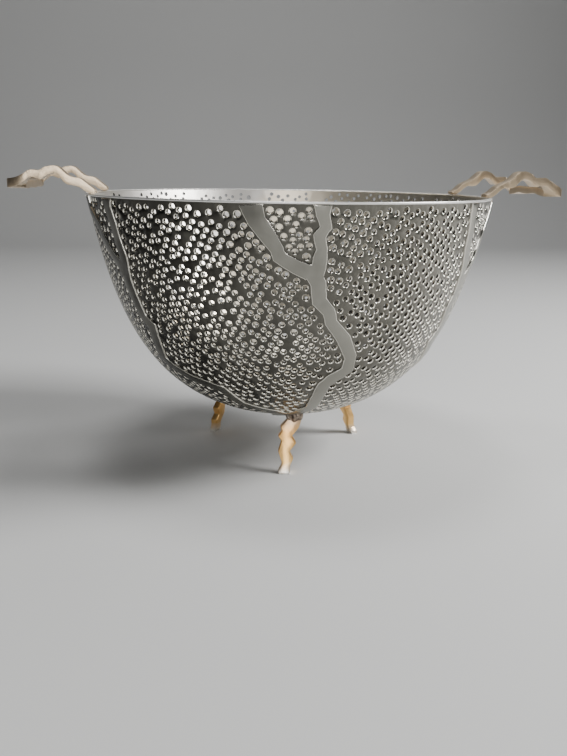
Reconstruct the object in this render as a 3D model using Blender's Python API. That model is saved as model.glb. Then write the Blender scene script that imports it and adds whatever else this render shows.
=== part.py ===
"""Metal bowl on three jagged feet, with two wavy loop handles and raised crack bands.

Units are metres and +Z is up. The origin is on the bowl's axis, on the surface that the feet
stand on. The handles lie along X. The wall is modelled without its thousands of small holes.
"""

import bisect
import math

import bmesh
import bpy
import numpy as np
from mathutils import Vector
from mathutils.geometry import delaunay_2d_cdt, interpolate_bezier

# Bowl
RIM_RADIUS = 0.140
RIM_HEIGHT = 0.1872
BOWL_DEPTH = 0.1557
RIM_FLARE = math.radians(10.6)
SIDE_FULLNESS = 0.0893
BASE_FULLNESS = 0.0966
WALL = 0.0020
LIP_HEIGHT = 0.0022

# Raised bands along the cracks
BAND_RISE = 0.0011
FOOT_PAD_RADIUS = 0.0105

# Feet
FOOT_TIP_RADII = {"foot_front": 0.0615, "foot_back_right": 0.0615, "foot_back_left": 0.0645}
FOOT_AZIMUTHS = {"foot_front": -95.4, "foot_back_right": 24.2, "foot_back_left": 146.0}
FOOT_THICKNESS = 0.0053
FOOT_SPLAY = math.radians(15.0)

# Handles
HANDLE_SPACING = 0.0750
HANDLE_WIDTH = 0.0115
HANDLE_REACH = 0.0465
HANDLE_CORNER = 0.0062
EDGE_CHAMFER = 0.0005

# Clearance kept between touching pieces
GAP = 0.0003

# Mesh density
AROUND = 96
GRID = 0.0088
INNER_RINGS = 11
PAD_SIDES = 14
CLEARANCE_RINGS = 36
MERGE_DISTANCE = 0.00002
GRID_MARGIN = 0.42 * GRID
SMOOTH_ANGLE = math.radians(35.0)
CHAMFER_ANGLE = math.radians(50.0)

# The tables below are in mm
MM = 0.001

# A crack is a run of (azimuth in degrees, share of the way from the pole to the rim, width in mm).
CRACKS = {
    "front_trunk": [
        (-91.2, 0.843, 10), (-89.0, 0.800, 9.5), (-88.3, 0.752, 9), (-85.4, 0.722, 8), (-84.3, 0.690, 7.5),
        (-79.8, 0.640, 9), (-77.8, 0.606, 8.5), (-76.0, 0.578, 8), (-75.7, 0.532, 8.5), (-78.9, 0.508, 10),
        (-82.2, 0.476, 9), (-82.9, 0.447, 9), (-83.5, 0.390, 9), (-83.8, 0.340, 9), (-89.0, 0.285, 9),
        (-95.4, 0.235, 9),
    ],
    "front_left_branch": [
        (-105.1, 0.997, 14), (-103.9, 0.955, 11), (-101.5, 0.920, 10), (-99.2, 0.885, 8), (-98.6, 0.866, 8),
        (-94.6, 0.842, 9), (-91.2, 0.828, 10),
    ],
    "front_right_branch": [
        (-89.0, 0.997, 10.5), (-88.7, 0.968, 8), (-88.0, 0.940, 7), (-89.4, 0.921, 7), (-88.6, 0.888, 7),
        (-89.0, 0.850, 9), (-89.6, 0.820, 10),
    ],
    "left_trunk": [
        (-148.2, 0.820, 10), (-148.2, 0.755, 11), (-147.2, 0.700, 10), (-146.4, 0.660, 9), (-143.6, 0.640, 9),
        (-145.6, 0.572, 9), (-147.8, 0.520, 9), (-144.0, 0.492, 9), (-136.5, 0.460, 8.5), (-129.5, 0.446, 8),
        (-123.5, 0.430, 8), (-121.5, 0.394, 8), (-119.0, 0.352, 7.5), (-110.5, 0.318, 7), (-104.0, 0.300, 7),
        (-96.5, 0.250, 8),
    ],
    "left_branch": [
        (-165.6, 0.997, 9), (-164.8, 0.955, 8), (-158.8, 0.915, 8), (-157.6, 0.885, 8), (-153.0, 0.835, 8),
        (-148.6, 0.800, 9),
    ],
    "left_front_branch": [
        (-148.8, 0.997, 12.5), (-149.0, 0.970, 9), (-148.0, 0.928, 8.5), (-147.5, 0.885, 8.5),
        (-146.7, 0.842, 9), (-148.2, 0.790, 11),
    ],
    "right_trunk": [
        (-34.8, 0.745, 9.5), (-36.4, 0.690, 9), (-34.0, 0.636, 9), (-36.5, 0.585, 9), (-32.0, 0.533, 8.5),
        (-20.0, 0.470, 8.5), (-14.5, 0.430, 8), (0.0, 0.395, 8), (7.0, 0.345, 8), (19.0, 0.300, 8),
        (24.2, 0.240, 8),
    ],
    "right_front_branch": [
        (-42.0, 0.997, 9), (-41.6, 0.968, 8), (-40.2, 0.930, 8.5), (-39.0, 0.872, 8.5), (-35.8, 0.808, 9),
        (-34.9, 0.740, 9),
    ],
    "right_branch": [
        (-17.0, 0.997, 9), (-19.5, 0.955, 8.5), (-25.2, 0.900, 8.5), (-26.6, 0.835, 9), (-32.4, 0.775, 9),
        (-34.8, 0.740, 9),
    ],
    "back_right_trunk": [
        (84.0, 0.842, 10), (82.0, 0.785, 9.5), (86.5, 0.735, 9), (79.5, 0.685, 9), (76.5, 0.630, 8.5),
        (79.5, 0.575, 8.5), (70.0, 0.530, 8.5), (66.5, 0.480, 8), (55.0, 0.445, 8), (49.0, 0.395, 8),
        (36.0, 0.340, 8), (30.0, 0.290, 8), (24.2, 0.240, 8),
    ],
    "back_right_branch": [
        (72.0, 0.997, 14), (73.5, 0.950, 10), (78.5, 0.905, 9), (79.5, 0.868, 9), (84.0, 0.830, 10),
    ],
    "back_middle_branch": [
        (95.0, 0.997, 14), (93.5, 0.945, 10), (89.5, 0.905, 9), (88.5, 0.868, 9), (84.0, 0.830, 10),
    ],
    "back_side_crack": [
        (28.0, 0.997, 12), (26.5, 0.940, 9), (29.5, 0.885, 8.5), (22.0, 0.820, 9), (20.5, 0.755, 8.5),
        (12.0, 0.690, 8.5), (13.5, 0.630, 8.5), (5.0, 0.565, 8), (6.5, 0.505, 8), (-1.5, 0.450, 8),
        (0.5, 0.395, 8),
    ],
    "back_left_trunk": [
        (150.0, 0.805, 10), (148.0, 0.740, 10), (144.5, 0.690, 9), (148.5, 0.630, 9), (143.0, 0.570, 9),
        (146.0, 0.505, 8.5), (140.5, 0.445, 8.5), (147.0, 0.385, 8), (142.0, 0.320, 8), (146.0, 0.240, 8),
    ],
    "back_left_side_branch": [
        (165.0, 0.997, 9), (163.5, 0.945, 8.5), (157.5, 0.905, 8.5), (156.5, 0.860, 8.5), (150.0, 0.800, 9),
    ],
    "back_left_branch": [
        (148.6, 0.997, 12.5), (150.0, 0.945, 9), (147.0, 0.890, 8.5), (149.5, 0.835, 9), (149.0, 0.790, 10),
    ],
    "back_small_crack": [
        (119.5, 0.997, 10), (121.5, 0.940, 8), (118.0, 0.885, 8), (125.0, 0.815, 8), (124.0, 0.750, 8),
        (132.0, 0.690, 8), (131.0, 0.630, 8), (140.0, 0.570, 8), (142.5, 0.545, 8),
    ],
}

# One foot's outline in mm, bottom to top: (height share, left edge, right edge), seen from outside.
FOOT_OUTLINE = [
    (0.00, -5.4, 2.4), (0.05, -5.8, 2.4), (0.14, -3.7, 2.4), (0.20, -3.4, 3.5), (0.26, -4.3, 4.6),
    (0.38, -5.9, 1.9), (0.52, -4.2, 6.5), (0.56, -3.7, 5.6), (0.64, -6.0, 3.5), (0.72, -3.6, 6.2),
    (0.80, -4.6, 8.6), (0.91, -0.4, 10.0), (1.00, 0.6, 10.8),
]
FOOT_TOP_MARGIN = 0.006

# The waves of each handle in mm. An arm's stations are (distance out from the leg, underside, top),
# and those of the corner and of half the cross bar are (underside, top), all above the rim.
HANDLE_WAVES = {
    "handle_right": {
        "arm": [
            (-5.0, 0.0, 1.8), (-2.0, 0.0, 3.4), (1.6, 2.4, 6.6), (3.7, 4.4, 7.9), (6.9, 6.2, 9.4),
            (10.4, 6.1, 11.0), (13.7, 7.0, 13.9), (16.6, 9.9, 16.4), (19.0, 11.9, 17.2), (21.0, 12.3, 17.4),
            (24.8, 10.8, 16.1), (28.8, 7.4, 13.1), (32.5, 8.4, 13.2), (36.0, 7.8, 13.2), (39.6, 5.2, 10.6),
        ],
        "corner": [(1.6, 7.8), (0.9, 5.6), (0.7, 5.2)],
        "cross": [(1.4, 6.0), (2.6, 7.2), (2.0, 6.6)],
    },
    "handle_left": {
        "arm": [
            (-5.0, 0.0, 2.2), (-2.0, 0.0, 4.6), (1.2, 1.3, 7.2), (4.3, 3.5, 9.2), (9.1, 5.0, 10.0),
            (11.7, 5.3, 11.2), (14.3, 7.0, 13.5), (17.2, 10.5, 16.0), (20.2, 12.3, 16.9), (24.0, 11.2, 16.4),
            (26.0, 10.3, 15.9), (28.8, 8.2, 14.2), (30.8, 8.9, 13.8), (33.6, 9.7, 14.2), (36.8, 9.1, 13.5),
            (39.6, 6.4, 11.3),
        ],
        "corner": [(3.9, 9.3), (3.2, 8.7), (2.9, 8.0)],
        "cross": [(2.2, 6.9), (2.9, 7.5), (2.2, 6.9)],
    },
}


def make_material(name, color, roughness, metallic):
    """Plain metal finish for one group of pieces."""
    material = bpy.data.materials.new(name)
    material.use_nodes = True
    shader = material.node_tree.nodes["Principled BSDF"]
    shader.inputs["Base Color"].default_value = (*color, 1.0)
    shader.inputs["Roughness"].default_value = roughness
    shader.inputs["Metallic"].default_value = metallic
    material.diffuse_color = (*color, 1.0)
    return material


def add_object(name, bm, material):
    """Turn a bmesh into a smooth-shaded object and free the bmesh."""
    bmesh.ops.recalc_face_normals(bm, faces=bm.faces)
    mesh = bpy.data.meshes.new(name)
    bm.to_mesh(mesh)
    bm.free()
    mesh.shade_smooth()
    mesh.set_sharp_from_angle(angle=SMOOTH_ANGLE)
    if material is not None:
        mesh.materials.append(material)
    obj = bpy.data.objects.new(name, mesh)
    bpy.context.scene.collection.objects.link(obj)
    return obj


class WallCurve:
    """The outer wall's profile, from the pole at the bottom to the rim, by arc length."""

    SAMPLES = 400
    RIM_TOLERANCE = 0.000001
    BAND_END = 0.997

    def __init__(self):
        rim = Vector((RIM_RADIUS, 0.0, RIM_HEIGHT))
        pole = Vector((0.0, 0.0, RIM_HEIGHT - BOWL_DEPTH))
        rim_handle = rim - SIDE_FULLNESS * Vector((math.sin(RIM_FLARE), 0.0, math.cos(RIM_FLARE)))
        pole_handle = pole + Vector((BASE_FULLNESS, 0.0, 0.0))
        self.points = interpolate_bezier(pole, pole_handle, rim_handle, rim, self.SAMPLES)
        self.arcs = [0.0]
        for before, after in zip(self.points, self.points[1:]):
            self.arcs.append(self.arcs[-1] + (after - before).length)
        self.length = self.arcs[-1]

    def at(self, arc, rise=0.0):
        """Radius and height at an arc length, moved out from the wall by rise."""
        step = min(max(bisect.bisect_right(self.arcs, arc) - 1, 0), self.SAMPLES - 2)
        before, after = self.points[step], self.points[step + 1]
        share = (arc - self.arcs[step]) / (self.arcs[step + 1] - self.arcs[step])
        point = before.lerp(after, min(max(share, 0.0), 1.0))
        along = (after - before).normalized()
        return max(point.x + rise * along.z, 0.0), point.z - rise * along.x

    def at_rim(self, rise=0.0):
        """Radius and height on the flat top of the rim."""
        return RIM_RADIUS + rise / math.cos(RIM_FLARE), RIM_HEIGHT

    def place(self, arc, azimuth, rise=0.0):
        """Point of the wall in space."""
        on_rim = arc > self.length - self.RIM_TOLERANCE
        radius, height = self.at_rim(rise) if on_rim else self.at(arc, rise)
        return Vector((radius * math.cos(azimuth), radius * math.sin(azimuth), height))

    def arc_at_radius(self, radius):
        """Arc length where the outer wall reaches a radius."""
        step = bisect.bisect_left([point.x for point in self.points], radius)
        return self.arcs[min(step, self.SAMPLES - 1)]


def unroll(arc, azimuth):
    """Place of a wall point in the flat disc that the wall is laid out on."""
    return Vector((arc * math.cos(azimuth), arc * math.sin(azimuth)))


def band_outline(wall, path, sharpest_mitre=0.6):
    """Closed outline of one crack band, as (arc, azimuth) points, mitred at each bend."""
    stations = [(math.radians(az), share * wall.length, width * MM / 2.0) for az, share, width in path]
    flows = []
    for (az_a, arc_a, _), (az_b, arc_b, _) in zip(stations, stations[1:]):
        radius = wall.at((arc_a + arc_b) / 2.0)[0]
        flows.append(Vector((arc_b - arc_a, radius * (az_b - az_a))).normalized())
    left, right = [], []
    for index, (azimuth, arc, half_width) in enumerate(stations):
        flow_in = flows[max(index - 1, 0)]
        flow_out = flows[min(index, len(flows) - 1)]
        flow = (flow_in + flow_out).normalized()
        reach = half_width / max(flow.dot(flow_out), sharpest_mitre)
        radius = wall.at(arc)[0]
        for edge, side in ((left, 1.0), (right, -1.0)):
            edge_arc = min(arc - side * reach * flow.y, wall.BAND_END * wall.length)
            edge.append((edge_arc, azimuth + side * reach * flow.x / radius))
    return refine(right + left[::-1])


def refine(outline):
    """Split an outline's long sides, so that it follows the curved wall."""
    points = []
    for (arc_a, az_a), (arc_b, az_b) in zip(outline, outline[1:] + outline[:1]):
        length = (unroll(arc_b, az_b) - unroll(arc_a, az_a)).length
        parts = max(1, round(length / GRID))
        for part in range(parts):
            share = part / parts
            points.append((arc_a + share * (arc_b - arc_a), az_a + share * (az_b - az_a)))
    return points


def foot_pad_outline(wall, azimuth, tip_radius):
    """Round raised pad where one foot is welded on."""
    centre_arc = wall.arc_at_radius(foot_top_radius(wall, tip_radius))
    radius = wall.at(centre_arc)[0]
    points = []
    for side in range(PAD_SIDES):
        turn = 2.0 * math.pi * side / PAD_SIDES
        arc = centre_arc + FOOT_PAD_RADIUS * math.cos(turn)
        points.append((arc, azimuth + FOOT_PAD_RADIUS * math.sin(turn) / radius))
    return points


def foot_top_radius(wall, tip_radius):
    """Radius where a foot's middle plane meets the wall, found step by step."""
    radius = tip_radius
    for _ in range(20):
        height = wall.at(wall.arc_at_radius(radius), BAND_RISE)[1]
        radius = tip_radius - height * math.tan(FOOT_SPLAY)
    return radius


def wall_points(wall, outlines, lip_arc):
    """Grid points over the wall, kept off the outlines of the raised bands."""
    starts, ends = [], []
    for outline in outlines:
        for point_a, point_b in zip(outline, outline[1:] + outline[:1]):
            starts.append(wall.place(*point_a))
            ends.append(wall.place(*point_b))
    starts = np.array(starts)
    spans = np.array(ends) - starts
    lengths = (spans * spans).sum(axis=1)
    points = [(0.0, 0.0)]
    rings = int(lip_arc / GRID)
    for ring in range(1, rings):
        arc = lip_arc * ring / rings
        radius = wall.at(arc)[0]
        count = max(6, round(2.0 * math.pi * radius / GRID))
        for step in range(count):
            azimuth = 2.0 * math.pi * (step + 0.5 * (ring % 2)) / count
            place = np.array(wall.place(arc, azimuth))
            share = np.clip(((place - starts) * spans).sum(axis=1) / lengths, 0.0, 1.0)
            off = place - starts - share[:, None] * spans
            if math.sqrt((off * off).sum(axis=1).min()) > GRID_MARGIN:
                points.append((arc, azimuth))
    return points


def make_bowl(wall, material):
    """Closed shell: outer skin with raised bands, flat rim and plain inner skin."""
    lip_arc = wall.length - LIP_HEIGHT
    outlines = [band_outline(wall, path) for path in CRACKS.values()]
    for name, azimuth in FOOT_AZIMUTHS.items():
        outlines.append(foot_pad_outline(wall, math.radians(azimuth), FOOT_TIP_RADII[name]))

    turns = [2.0 * math.pi * step / AROUND for step in range(AROUND)]
    layout = wall_points(wall, outlines, lip_arc)
    layout += [(wall.length, turn) for turn in turns]
    lip_start = len(layout)
    layout += [(lip_arc, turn) for turn in turns]
    lip_edges = [(lip_start + step, lip_start + (step + 1) % AROUND) for step in range(AROUND)]
    regions = []
    for outline in outlines:
        regions.append(list(range(len(layout), len(layout) + len(outline))))
        layout += outline
    flat = [unroll(arc, azimuth) for arc, azimuth in layout]
    points, _, faces, _, _, sources = delaunay_2d_cdt(flat, lip_edges, regions, 0, MERGE_DISTANCE)

    bm = bmesh.new()
    levels = {}

    def corner(index, raised):
        """Vertex of a layout point at its low or its raised level."""
        if (index, raised) not in levels:
            arc, azimuth = points[index].length, math.atan2(points[index].y, points[index].x)
            rise = BAND_RISE if raised else 0.0
            levels[index, raised] = bm.verts.new(wall.place(arc, azimuth, rise))
        return levels[index, raised]

    raised_sides = {}
    for face, source in zip(faces, sources):
        middle = sum((points[index] for index in face), Vector((0.0, 0.0))) / len(face)
        raised = bool(source) or middle.length > lip_arc
        bm.faces.new([corner(index, raised) for index in face])
        for side in zip(face, face[1:] + face[:1]):
            raised_sides[side] = raised
    for (start, end), raised in raised_sides.items():
        if raised and raised_sides.get((end, start)) is False:
            bm.faces.new([corner(end, True), corner(start, True), corner(start, False), corner(end, False)])

    outer_rim = {}
    for (index, raised), vert in levels.items():
        if points[index].length > wall.length - wall.RIM_TOLERANCE:
            azimuth = math.atan2(points[index].y, points[index].x) % (2.0 * math.pi)
            outer_rim[round(azimuth / turns[1]) % AROUND] = vert
    inner_rings = []
    for ring in range(INNER_RINGS, 0, -1):
        arc = wall.length * ring / INNER_RINGS
        inner_rings.append([bm.verts.new(wall.place(arc, turn, -WALL)) for turn in turns])
    pole = bm.verts.new(wall.place(0.0, 0.0, -WALL))
    rows = [[outer_rim[step] for step in range(AROUND)]] + inner_rings
    for row_a, row_b in zip(rows, rows[1:]):
        for step in range(AROUND):
            after = (step + 1) % AROUND
            bm.faces.new([row_a[step], row_a[after], row_b[after], row_b[step]])
    for step in range(AROUND):
        bm.faces.new([rows[-1][step], rows[-1][(step + 1) % AROUND], pole])
    return add_object("bowl", bm, material)


def make_clearance(wall):
    """Hidden cutter: the bowl's raised outside, grown by the gap that a foot keeps to it."""
    bm = bmesh.new()
    rise = BAND_RISE + GAP
    step_arc = wall.length / CLEARANCE_RINGS
    profile = [wall.at(step_arc * ring, rise) for ring in range(1, CLEARANCE_RINGS + 1)]
    rows = []
    for radius, height in profile:
        row = []
        for step in range(AROUND):
            turn = 2.0 * math.pi * step / AROUND
            row.append(bm.verts.new((radius * math.cos(turn), radius * math.sin(turn), height)))
        rows.append(row)
    for row_a, row_b in zip(rows, rows[1:]):
        for step in range(AROUND):
            after = (step + 1) % AROUND
            bm.faces.new([row_a[step], row_a[after], row_b[after], row_b[step]])
    low = bm.verts.new((0.0, 0.0, wall.at(0.0, rise)[1]))
    for step in range(AROUND):
        bm.faces.new([rows[0][(step + 1) % AROUND], rows[0][step], low])
    bm.faces.new(rows[-1])
    cutter = add_object("bowl_clearance", bm, None)
    cutter.hide_render = True
    cutter.display_type = "WIRE"
    return cutter


def add_chamfer(obj, width):
    """Small chamfer along a bar's long edges."""
    chamfer = obj.modifiers.new("chamfer", "BEVEL")
    chamfer.width = width
    chamfer.segments = 1
    chamfer.limit_method = "ANGLE"
    chamfer.angle_limit = CHAMFER_ANGLE


def make_foot(wall, name, azimuth, tip_radius, cutter, material):
    """Jagged flat bar, cut level at the ground and to the bowl's curve at its top."""
    top = wall.at(wall.arc_at_radius(foot_top_radius(wall, tip_radius)))[1]
    bm = bmesh.new()
    half = FOOT_THICKNESS / 2.0 / math.cos(FOOT_SPLAY)
    sides = []
    for offset in (-half, half):
        edge = []
        for share, left, _ in FOOT_OUTLINE:
            edge.append((share * top, left * MM))
        edge.append((top + FOOT_TOP_MARGIN, FOOT_OUTLINE[-1][1] * MM))
        edge.append((top + FOOT_TOP_MARGIN, FOOT_OUTLINE[-1][2] * MM))
        for share, _, right in reversed(FOOT_OUTLINE):
            edge.append((share * top, right * MM))
        lean = math.tan(FOOT_SPLAY)
        sides.append([bm.verts.new((offset - height * lean, across, height)) for height, across in edge])
    inner, outer = sides
    bm.faces.new(inner)
    bm.faces.new(outer[::-1])
    for step in range(len(inner)):
        after = (step + 1) % len(inner)
        bm.faces.new([inner[step], inner[after], outer[after], outer[step]])
    foot = add_object(name, bm, material)
    foot.location = (tip_radius * math.cos(azimuth), tip_radius * math.sin(azimuth), 0.0)
    foot.rotation_euler = (0.0, 0.0, azimuth)
    add_chamfer(foot, EDGE_CHAMFER)
    trim = foot.modifiers.new("fit to bowl", "BOOLEAN")
    trim.operation = "DIFFERENCE"
    trim.object = cutter
    return foot


def handle_stations(waves):
    """Stations of a whole loop: (centre x, centre y, direction across, underside, top)."""
    arm_y = HANDLE_SPACING / 2.0
    leg_x = math.sqrt(RIM_RADIUS ** 2 - arm_y ** 2)
    cross_x = RIM_RADIUS + HANDLE_REACH - HANDLE_WIDTH / 2.0
    arm_end = cross_x - HANDLE_CORNER
    stretch = (arm_end - leg_x) / (waves["arm"][-1][0] * MM)
    half = []
    for reach, low, high in waves["arm"]:
        distance = reach * MM
        if distance > 0.0:
            distance *= stretch
        half.append((leg_x + distance, -arm_y, Vector((0.0, -1.0)), low, high))
    for step, (low, high) in enumerate(waves["corner"], start=1):
        turn = math.pi / 2.0 * step / len(waves["corner"])
        across = Vector((math.sin(turn), -math.cos(turn)))
        centre = Vector((arm_end, HANDLE_CORNER - arm_y)) + HANDLE_CORNER * across
        half.append((centre.x, centre.y, across, low, high))
    straight = arm_y - HANDLE_CORNER
    spacing = straight / (len(waves["cross"]) + 0.5)
    for step, (low, high) in enumerate(waves["cross"], start=1):
        half.append((cross_x, step * spacing - straight, Vector((1.0, 0.0)), low, high))
    other = [(x, -y, Vector((across.x, -across.y)), low, high) for x, y, across, low, high in reversed(half)]
    return half + other


def make_handle(name, turn, rim_plane, material):
    """Wavy flat bar bent to a loop, its two legs standing on the rim."""
    bm = bmesh.new()
    sections = []
    for x, y, across, low, high in handle_stations(HANDLE_WAVES[name]):
        centre = Vector((x, y))
        outside = centre + across * HANDLE_WIDTH / 2.0
        inside = centre - across * HANDLE_WIDTH / 2.0
        bottom, top = GAP + low * MM, GAP + high * MM
        corners = [(inside, bottom), (outside, bottom), (outside, top), (inside, top)]
        sections.append([bm.verts.new((place.x, place.y, height)) for place, height in corners])
    for section_a, section_b in zip(sections, sections[1:]):
        for step in range(4):
            after = (step + 1) % 4
            bm.faces.new([section_a[step], section_b[step], section_b[after], section_a[after]])
    bm.faces.new(sections[0])
    bm.faces.new(sections[-1][::-1])
    handle = add_object(name, bm, material)
    handle.parent = rim_plane
    handle.rotation_euler = (0.0, 0.0, turn)
    add_chamfer(handle, EDGE_CHAMFER)
    return handle


def build():
    """Make every piece of the bowl."""
    for obj in list(bpy.data.objects):
        bpy.data.objects.remove(obj)
    bowl_metal = make_material("bowl_metal", (0.36, 0.35, 0.33), 0.22, 1.0)
    bar_metal = make_material("bar_metal", (0.78, 0.70, 0.60), 0.30, 1.0)

    wall = WallCurve()
    make_bowl(wall, bowl_metal)
    cutter = make_clearance(wall)
    for name, azimuth in FOOT_AZIMUTHS.items():
        make_foot(wall, name, math.radians(azimuth), FOOT_TIP_RADII[name], cutter, bar_metal)

    rim_plane = bpy.data.objects.new("rim_plane", None)
    rim_plane.location = (0.0, 0.0, RIM_HEIGHT)
    bpy.context.scene.collection.objects.link(rim_plane)
    make_handle("handle_right", 0.0, rim_plane, bar_metal)
    make_handle("handle_left", math.pi, rim_plane, bar_metal)


build()
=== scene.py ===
import bisect
import math
import random

import bmesh
import bpy
from mathutils import Matrix, Vector
from mathutils.geometry import delaunay_2d_cdt, interpolate_bezier


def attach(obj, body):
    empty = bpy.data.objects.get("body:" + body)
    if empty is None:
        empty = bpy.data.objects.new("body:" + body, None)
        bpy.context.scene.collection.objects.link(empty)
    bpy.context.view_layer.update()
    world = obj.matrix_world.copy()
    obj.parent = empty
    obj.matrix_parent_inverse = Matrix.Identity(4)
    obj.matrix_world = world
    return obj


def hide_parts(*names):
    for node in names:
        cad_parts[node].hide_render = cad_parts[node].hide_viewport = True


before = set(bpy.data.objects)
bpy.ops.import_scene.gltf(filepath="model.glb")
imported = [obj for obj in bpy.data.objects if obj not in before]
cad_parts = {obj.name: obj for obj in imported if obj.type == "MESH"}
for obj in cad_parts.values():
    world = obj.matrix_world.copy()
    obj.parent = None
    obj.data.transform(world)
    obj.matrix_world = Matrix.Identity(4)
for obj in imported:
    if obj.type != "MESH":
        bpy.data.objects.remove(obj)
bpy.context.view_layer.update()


# Table top and studio.
# A plain pale sweep that runs up behind the bowl, a strong soft box on the right, and weak ones
# low in front, behind and overhead. The camera stands a little above the rim.
SWEEP_WIDTH = 6.0
SWEEP_FRONT = -2.4
SWEEP_BACK = 1.6
SWEEP_CURVE = 0.8
SWEEP_STEPS = 12
SWEEP_TOP = 2.6
# Each soft box is (place, side in metres, watts).
SOFT_BOXES = {
    "key": ((1.2, -0.25, 0.95), 0.6, 36.0),
    "fill": ((-0.15, -1.7, 0.42), 0.8, 9.0),
    "back": ((0.2, 1.3, 1.5), 0.8, 4.0),
    "top": ((-0.1, 0.1, 1.6), 0.4, 7.0),
}
LIGHT_AIM = (0.0, 0.0, 0.1)
ROOM_COLOR = (0.55, 0.57, 0.60, 1.0)
ROOM_STRENGTH = 0.08
LENS = 38.1
CLIP_START = 0.01
CAMERA_PLACE = (-0.067396, -0.578846, 0.2038)
CAMERA_DOWN = 14.59
CAMERA_TURN = -6.461
CAMERA_ROLL = 0.82


class Signal:
    """What one shader node gives, so that a pattern can be written as a sum."""

    def __init__(self, finish, socket):
        self.finish = finish
        self.socket = socket

    def calc(self, operation, *values):
        """A Math node on this finish's tree."""
        return self.finish.node("ShaderNodeMath", {"operation": operation}, dict(enumerate(values)))

    def __add__(self, other):
        return self.calc("ADD", self, other)

    def __sub__(self, other):
        return self.calc("SUBTRACT", self, other)

    def __mul__(self, other):
        return self.calc("MULTIPLY", self, other)

    __radd__ = __add__


class Finish:
    """A material and its nodes."""

    def __init__(self, name, **plain):
        self.material = bpy.data.materials.new(name)
        self.material.use_nodes = True
        self.tree = self.material.node_tree
        self.shader = self.tree.nodes["Principled BSDF"]
        for socket, value in plain.items():
            self.set(self.shader.inputs[socket.replace("_", " ")], value)

    def set(self, socket, value):
        """Give a socket a plain value, or link a signal to it."""
        if isinstance(value, Signal):
            self.tree.links.new(value.socket, socket)
        else:
            socket.default_value = value

    def node(self, kind, settings=None, sockets=None, output=0):
        """Add a node: first its settings, then its sockets' values or links."""
        node = self.tree.nodes.new(kind)
        for key, value in (settings or {}).items():
            if key == "stops":
                ramp = node.color_ramp.elements
                while len(ramp) < len(value):
                    ramp.new(0.5)
                for element, (place, color) in zip(ramp, value):
                    element.position = place
                    element.color = color
            else:
                setattr(node, key, value)
        for key, value in (sockets or {}).items():
            self.set(node.inputs[key], value)
        return Signal(self, node.outputs[output])

    def place(self):
        """The point of the object, in metres."""
        return self.node("ShaderNodeTexCoord", output="Object")

    def along(self, axis):
        """One coordinate of the point, in metres."""
        return self.node("ShaderNodeSeparateXYZ", {}, {"Vector": self.place()}, output=axis)

    def ramp(self, value, stops):
        """A colour for each value, with smooth steps."""
        return self.node("ShaderNodeValToRGB", {"stops": stops}, {"Fac": value})

    def noise(self, scale, detail=3.0):
        """Soft random pattern with about scale bumps to the metre."""
        sockets = {"Vector": self.place(), "Scale": scale, "Detail": detail, "Roughness": 0.55}
        return self.node("ShaderNodeTexNoise", {"noise_dimensions": "3D"}, sockets)

    def bump(self, height, distance):
        """Relief that feeds the shader's normal."""
        relief = self.node("ShaderNodeBump", {}, {"Height": height, "Distance": distance, "Strength": 1.0})
        self.set(self.shader.inputs["Normal"], relief)


def add_piece(name, bm, *finishes):
    """Make an object of a finished bmesh, with its place in its mesh."""
    mesh = bpy.data.meshes.new(name)
    bm.to_mesh(mesh)
    bm.free()
    for finish in finishes:
        mesh.materials.append(finish.material)
    piece = bpy.data.objects.new(name, mesh)
    bpy.context.scene.collection.objects.link(piece)
    return piece


def smooth(piece, sharp):
    """Shade a piece smooth, but for edges that turn by more than sharp degrees."""
    piece.data.shade_smooth()
    piece.data.set_sharp_from_angle(angle=math.radians(sharp))


def add_soft_box(name, place, size, watts):
    """Square soft light that looks at the bowl."""
    lamp = bpy.data.lights.new(name, "AREA")
    lamp.size = size
    lamp.energy = watts
    lamp_object = bpy.data.objects.new(name, lamp)
    lamp_object.location = place
    aim = Vector(LIGHT_AIM) - Vector(place)
    lamp_object.rotation_euler = aim.to_track_quat("-Z", "Y").to_euler()
    bpy.context.scene.collection.objects.link(lamp_object)


bm = bmesh.new()
sweep_line = [bm.verts.new((-SWEEP_WIDTH / 2, y, 0.0)) for y in (SWEEP_FRONT, SWEEP_BACK)]
for step in range(1, SWEEP_STEPS + 1):
    turn = math.pi / 2 * step / SWEEP_STEPS
    sweep_line.append(bm.verts.new((
        -SWEEP_WIDTH / 2,
        SWEEP_BACK + SWEEP_CURVE * math.sin(turn),
        SWEEP_CURVE * (1 - math.cos(turn)),
    )))
sweep_line.append(bm.verts.new((-SWEEP_WIDTH / 2, SWEEP_BACK + SWEEP_CURVE, SWEEP_TOP)))
sweep_edges = [bm.edges.new(pair) for pair in zip(sweep_line, sweep_line[1:])]
wide = bmesh.ops.extrude_edge_only(bm, edges=sweep_edges)["geom"]
bmesh.ops.translate(bm, vec=(SWEEP_WIDTH, 0, 0), verts=[v for v in wide if isinstance(v, bmesh.types.BMVert)])
bmesh.ops.recalc_face_normals(bm, faces=bm.faces)
if sum(face.normal.z for face in bm.faces) < 0:
    bmesh.ops.reverse_faces(bm, faces=bm.faces)
pale = Finish("pale_sweep", Base_Color=(0.62, 0.62, 0.61, 1.0), Roughness=0.8, Specular_IOR_Level=0.2)
seen_from_below = pale.node("ShaderNodeNewGeometry", output="Backfacing")
surface = Signal(pale, pale.shader.outputs["BSDF"])
clear = pale.node("ShaderNodeBsdfTransparent")
one_sided = pale.node("ShaderNodeMixShader", {}, {0: seen_from_below, 1: surface, 2: clear})
pale.set(pale.tree.nodes["Material Output"].inputs["Surface"], one_sided)
sweep = add_piece("sweep", bm, pale)
sweep.data.shade_smooth()

for name, (place, size, watts) in SOFT_BOXES.items():
    add_soft_box(name, place, size, watts)

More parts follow.
